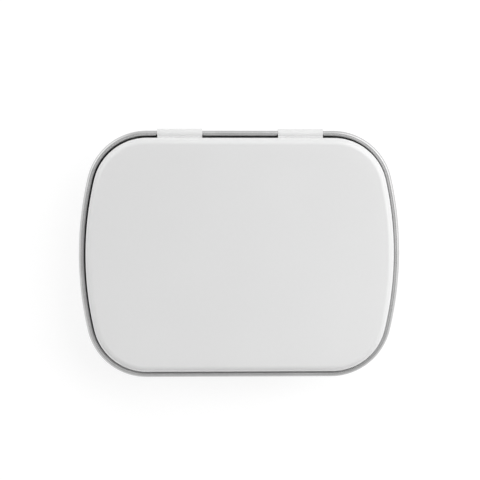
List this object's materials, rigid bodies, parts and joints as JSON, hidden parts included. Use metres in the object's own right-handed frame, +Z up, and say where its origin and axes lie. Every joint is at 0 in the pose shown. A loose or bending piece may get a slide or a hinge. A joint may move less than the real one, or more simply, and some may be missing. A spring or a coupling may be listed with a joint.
{
  "type": "hinged mint tin",
  "caption": "Flat pocket tin with rounded corners, a rolled bare-metal rim and a white hinged lid that sits inside the rim, for mints or small keepsakes.",
  "frame": {"origin": "middle of the flat underside that the tin stands on, under the middle of the rolled rim", "axes": "+X along the hinge, +Y towards the hinge at the back, +Z up through the lid"},
  "size_m": [0.062, 0.048, 0.016],
  "materials": {
    "tinplate": "bright rolled tinplate",
    "white_enamel": "gloss white enamel on tinplate"
  },
  "bodies": {
    "base": {"base": "tinplate"},
    "lid": {"lid": "white_enamel"}
  },
  "joints": [
    {"name": "lid_hinge", "type": "hinge", "parent": "base", "child": "lid", "pos_m": [0, 0.02332, 0.01247], "axis": [-1, 0, 0], "range_deg": [0, 105]}
  ]
}
